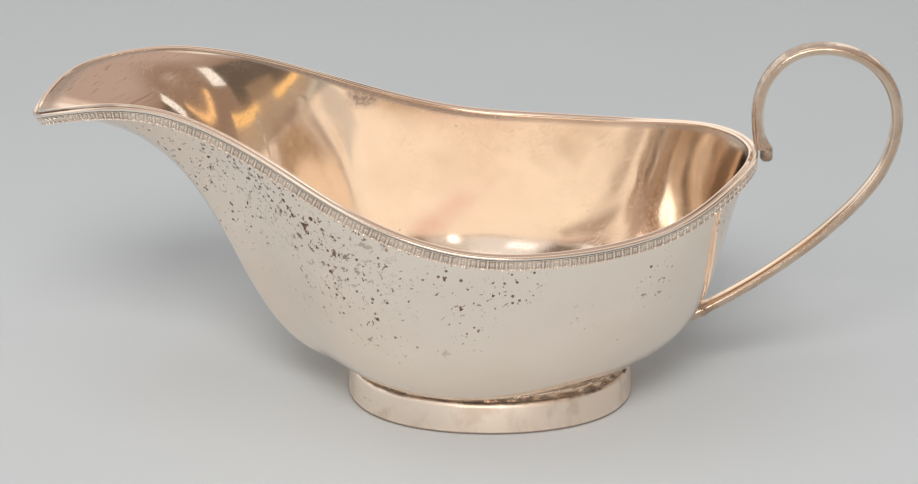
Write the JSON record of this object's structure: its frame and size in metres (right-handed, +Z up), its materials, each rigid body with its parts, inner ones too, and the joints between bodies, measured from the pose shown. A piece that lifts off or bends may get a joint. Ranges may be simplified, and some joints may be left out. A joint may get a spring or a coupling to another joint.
{
  "type": "sauce boat",
  "caption": "Small polished silver sauce boat: oval bowl, broad drooping lip, fluted rim wire over a milled band, high loop handle and oval foot.",
  "frame": {"origin": "Middle of the underside box: on the table at Z = 0, halfway along the length and on the symmetry plane.", "axes": "+X points to the handle, with the pouring lip at -X; +Y is square to the symmetry plane; +Z is up."},
  "size_m": [0.1982, 0.0876, 0.0867],
  "materials": {
    "bowl_silver": "polished sterling silver with fine scratches and scattered dark tarnish",
    "bright_silver": "polished sterling silver, worn bright by handling",
    "milled_silver": "milled silver, tarnish dark in the cuts",
    "seam_silver": "silver solder fillet, dull and tarnished"
  },
  "bodies": {
    "root": {"bowl": "bowl_silver", "rim_wire_back": "bright_silver", "rim_wire_front": "bright_silver", "milled_band_back": "milled_silver", "milled_band_front": "milled_silver", "foot_collar": "seam_silver", "foot_band": "bright_silver", "handle": "bright_silver"}
  },
  "joints": []
}
